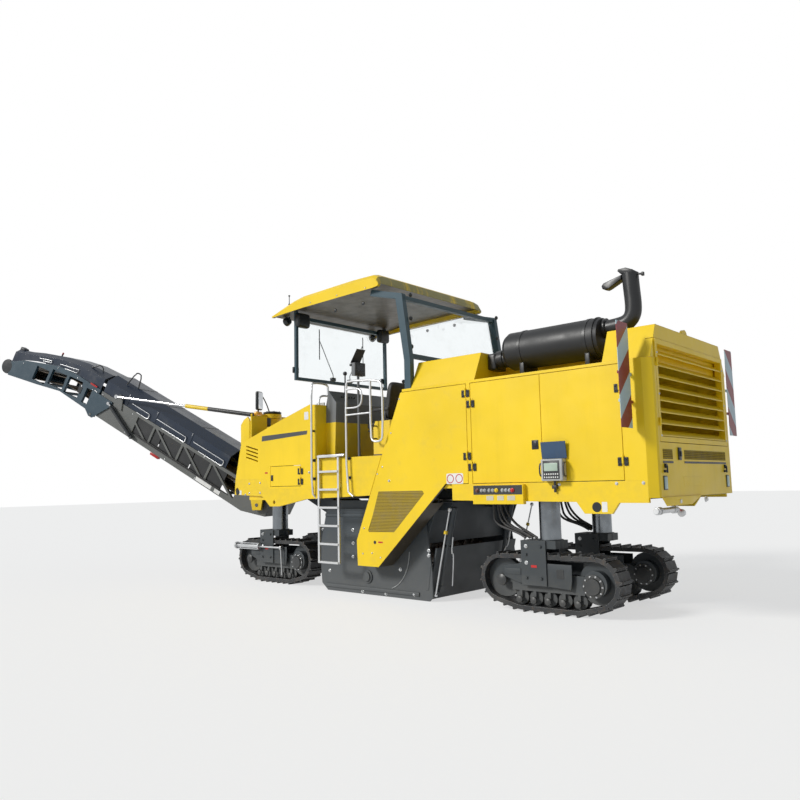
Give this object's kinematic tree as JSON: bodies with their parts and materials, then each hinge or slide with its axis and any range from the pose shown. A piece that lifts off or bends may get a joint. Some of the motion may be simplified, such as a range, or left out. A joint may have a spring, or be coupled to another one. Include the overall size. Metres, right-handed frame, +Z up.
{
  "type": "cold planer milling machine",
  "caption": "Tracked cold planer with milling drum, four lifting columns, slewing and folding discharge conveyor, canopy and engine doors",
  "frame": {"origin": "on the road, on the centre plane, below the lower edge of the scraper behind the drum", "axes": "+X forward, towards the discharge conveyor; +Y to the machine's left; +Z up"},
  "size_m": [14.1152, 4.1238, 4.7033],
  "materials": {
    "yellow": "semi-gloss, dusty",
    "frame_grey": "matt, dusty",
    "black_steel": "matt",
    "track_grey": "matt, worn",
    "dark_rubber": "dusty",
    "navy_cover": "satin",
    "bright_steel": "polished",
    "cylinder_yellow": "semi-gloss",
    "galvanised": "satin",
    "pane": "clear",
    "panel_grey": "satin",
    "seat_black": "satin",
    "worn_steel": "rusty, worn bright at the tips",
    "board_white": "striped red"
  },
  "bodies": {
    "chassis": {"main_frame": "frame_grey", "front_hood": "yellow", "engine_hood": "yellow", "engine_block": "black_steel", "platform": "frame_grey", "control_console": "panel_grey", "canopy_roof": "yellow", "canopy_frame": "track_grey", "canopy_glass": "pane", "exhaust": "black_steel", "handrails": "galvanised", "ladders": "galvanised", "socket_box": "panel_grey", "warning_boards": "board_white", "tow_pipe": "galvanised", "drum_housing": "frame_grey", "pickup_conveyor": "frame_grey"},
    "drum": {"drum": "worn_steel"},
    "scraper": {"scraper": "frame_grey"},
    "edge_plate_left": {"edge_plate_left": "frame_grey"},
    "edge_plate_right": {"edge_plate_right": "frame_grey"},
    "slew": {"slew_bracket": "frame_grey"},
    "conveyor": {"conveyor_truss": "frame_grey", "conveyor_belt": "dark_rubber", "conveyor_cover": "navy_cover"},
    "nose": {"nose_truss": "frame_grey", "nose_belt": "dark_rubber", "nose_cover": "navy_cover"},
    "stay_barrels": {"stay_barrels": "cylinder_yellow"},
    "stay_rods": {"stay_rods": "bright_steel"},
    "fold_barrels": {"fold_barrels": "black_steel"},
    "fold_rods": {"fold_rods": "bright_steel"},
    "engine_door_left_rear": {"engine_door_left_rear": "yellow", "ground_panel": "panel_grey"},
    "engine_door_left_front": {"engine_door_left_front": "yellow"},
    "engine_door_right_rear": {"engine_door_right_rear": "yellow"},
    "engine_door_right_front": {"engine_door_right_front": "yellow"},
    "belt_door_left": {"belt_door_left": "yellow"},
    "side_door_right": {"side_door_right": "yellow"},
    "front_door_left": {"front_door_left": "yellow"},
    "front_door_right": {"front_door_right": "yellow"},
    "rear_grille": {"rear_grille": "yellow"},
    "seat_left": {"seat_left": "seat_black"},
    "seat_right": {"seat_right": "seat_black"},
    "leg_front_left": {"leg_front_left": "bright_steel"},
    "track_front_left": {"track_shoes_front_left": "dark_rubber", "track_frame_front_left": "track_grey"},
    "leg_front_right": {"leg_front_right": "bright_steel"},
    "track_front_right": {"track_shoes_front_right": "dark_rubber", "track_frame_front_right": "track_grey"},
    "leg_rear_left": {"leg_rear_left": "bright_steel"},
    "track_rear_left": {"track_shoes_rear_left": "dark_rubber", "track_frame_rear_left": "track_grey"},
    "leg_rear_right": {"leg_rear_right": "bright_steel"},
    "track_rear_right": {"track_shoes_rear_right": "dark_rubber", "track_frame_rear_right": "track_grey"}
  },
  "joints": [
    {"name": "drum_rotation", "type": "hinge", "parent": "chassis", "child": "drum", "pos_m": [0.93, 0, 0.57], "axis": [0, 1, 0], "continuous": true},
    {"name": "leg_front_left_lift", "type": "slide", "parent": "chassis", "child": "leg_front_left", "axis": [0, 0, 1], "range_m": [-0.1, 0.3]},
    {"name": "track_front_left_steering", "type": "hinge", "parent": "leg_front_left", "child": "track_front_left", "pos_m": [3.37, 0.685, 0.88], "axis": [0, 0, 1], "range_deg": [-20, 20]},
    {"name": "leg_front_right_lift", "type": "slide", "parent": "chassis", "child": "leg_front_right", "axis": [0, 0, 1], "range_m": [-0.1, 0.3]},
    {"name": "track_front_right_steering", "type": "hinge", "parent": "leg_front_right", "child": "track_front_right", "pos_m": [3.37, -0.685, 0.88], "axis": [0, 0, 1], "range_deg": [-20, 20]},
    {"name": "leg_rear_left_lift", "type": "slide", "parent": "chassis", "child": "leg_rear_left", "axis": [0, 0, 1], "range_m": [-0.1, 0.3]},
    {"name": "track_rear_left_steering", "type": "hinge", "parent": "leg_rear_left", "child": "track_rear_left", "pos_m": [-1.85, 0.685, 0.88], "axis": [0, 0, 1], "range_deg": [-20, 20]},
    {"name": "leg_rear_right_lift", "type": "slide", "parent": "chassis", "child": "leg_rear_right", "axis": [0, 0, 1], "range_m": [-0.1, 0.3]},
    {"name": "track_rear_right_steering", "type": "hinge", "parent": "leg_rear_right", "child": "track_rear_right", "pos_m": [-1.85, -0.685, 0.88], "axis": [0, 0, 1], "range_deg": [-20, 20]},
    {"name": "scraper_lift", "type": "slide", "parent": "chassis", "child": "scraper", "axis": [-0.2465, 0, 0.9691], "range_m": [0, 0.3]},
    {"name": "edge_plate_left_lift", "type": "slide", "parent": "chassis", "child": "edge_plate_left", "axis": [0, 0, 1], "range_m": [0, 0.3]},
    {"name": "edge_plate_right_lift", "type": "slide", "parent": "chassis", "child": "edge_plate_right", "axis": [0, 0, 1], "range_m": [0, 0.3]},
    {"name": "conveyor_slew", "type": "hinge", "parent": "chassis", "child": "slew", "pos_m": [4.45, 0, 1.27], "axis": [0, 0, 1], "range_deg": [-80, 40]},
    {"name": "conveyor_luff", "type": "hinge", "parent": "slew", "child": "conveyor", "pos_m": [4.45, 0, 1.27], "axis": [0.342, -0.9397, 0], "range_deg": [-20, 6]},
    {"name": "conveyor_fold", "type": "hinge", "parent": "conveyor", "child": "nose", "pos_m": [8.22391, 1.37359, 3.14173], "axis": [-0.342, 0.9397, 0], "range_deg": [0, 75]},
    {"name": "stay_barrel_swing", "type": "hinge", "parent": "slew", "child": "stay_barrels", "pos_m": [4.51108, 0.02223, 2.908], "axis": [0.342, -0.9397, 0], "range_deg": [-22, 8]},
    {"name": "stay_rod_slide", "type": "slide", "parent": "stay_barrels", "child": "stay_rods", "axis": [0.9267, 0.3373, 0.1659], "range_m": [-0.22, 0.62]},
    {"name": "fold_barrel_swing", "type": "hinge", "parent": "conveyor", "child": "fold_barrels", "pos_m": [7.20349, 1.00219, 2.62555], "axis": [0.342, -0.9397, 0], "range_deg": [-12, 4]},
    {"name": "fold_rod_slide", "type": "slide", "parent": "fold_barrels", "child": "fold_rods", "axis": [0.5976, 0.2175, 0.7717], "range_m": [-0.02, 0.8]},
    {"name": "engine_door_left_rear_hinge", "type": "hinge", "parent": "chassis", "child": "engine_door_left_rear", "pos_m": [-3.09, 1.222, 2.2], "axis": [0, 0, 1], "range_deg": [0, 90]},
    {"name": "engine_door_left_front_hinge", "type": "hinge", "parent": "chassis", "child": "engine_door_left_front", "pos_m": [-1.085, 1.222, 2.2], "axis": [0, 0, -1], "range_deg": [0, 90]},
    {"name": "belt_door_left_hinge", "type": "hinge", "parent": "chassis", "child": "belt_door_left", "pos_m": [-1.01, 1.222, 2], "axis": [0, 0, 1], "range_deg": [0, 90]},
    {"name": "front_door_left_hinge", "type": "hinge", "parent": "chassis", "child": "front_door_left", "pos_m": [2.22, 1.222, 1.76], "axis": [0, 0, 1], "range_deg": [0, 100]},
    {"name": "engine_door_right_rear_hinge", "type": "hinge", "parent": "chassis", "child": "engine_door_right_rear", "pos_m": [-3.09, -1.222, 2.2], "axis": [0, 0, -1], "range_deg": [0, 90]},
    {"name": "engine_door_right_front_hinge", "type": "hinge", "parent": "chassis", "child": "engine_door_right_front", "pos_m": [-1.085, -1.222, 2.2], "axis": [0, 0, 1], "range_deg": [0, 90]},
    {"name": "side_door_right_hinge", "type": "hinge", "parent": "chassis", "child": "side_door_right", "pos_m": [-1.01, -1.222, 2], "axis": [0, 0, -1], "range_deg": [0, 90]},
    {"name": "front_door_right_hinge", "type": "hinge", "parent": "chassis", "child": "front_door_right", "pos_m": [2.22, -1.222, 1.76], "axis": [0, 0, -1], "range_deg": [0, 100]},
    {"name": "rear_grille_hinge", "type": "hinge", "parent": "chassis", "child": "rear_grille", "pos_m": [-3.462, 1.06, 2.5], "axis": [0, 0, -1], "range_deg": [0, 95]},
    {"name": "seat_left_swivel", "type": "hinge", "parent": "chassis", "child": "seat_left", "pos_m": [1.08, 0.442, 2.2], "axis": [0, 0, 1], "range_deg": [-90, 90]},
    {"name": "seat_right_swivel", "type": "hinge", "parent": "chassis", "child": "seat_right", "pos_m": [1.08, -0.442, 2.2], "axis": [0, 0, 1], "range_deg": [-90, 90]}
  ],
  "couplings": [
    {"joint": "stay_barrel_swing", "follows": "conveyor_luff", "ratio": 1.0361},
    {"joint": "stay_rod_slide", "follows": "conveyor_luff", "m_per_rad": -1.628},
    {"joint": "fold_barrel_swing", "follows": "conveyor_fold", "ratio": -0.05512},
    {"joint": "fold_rod_slide", "follows": "conveyor_fold", "m_per_rad": 0.50895}
  ]
}
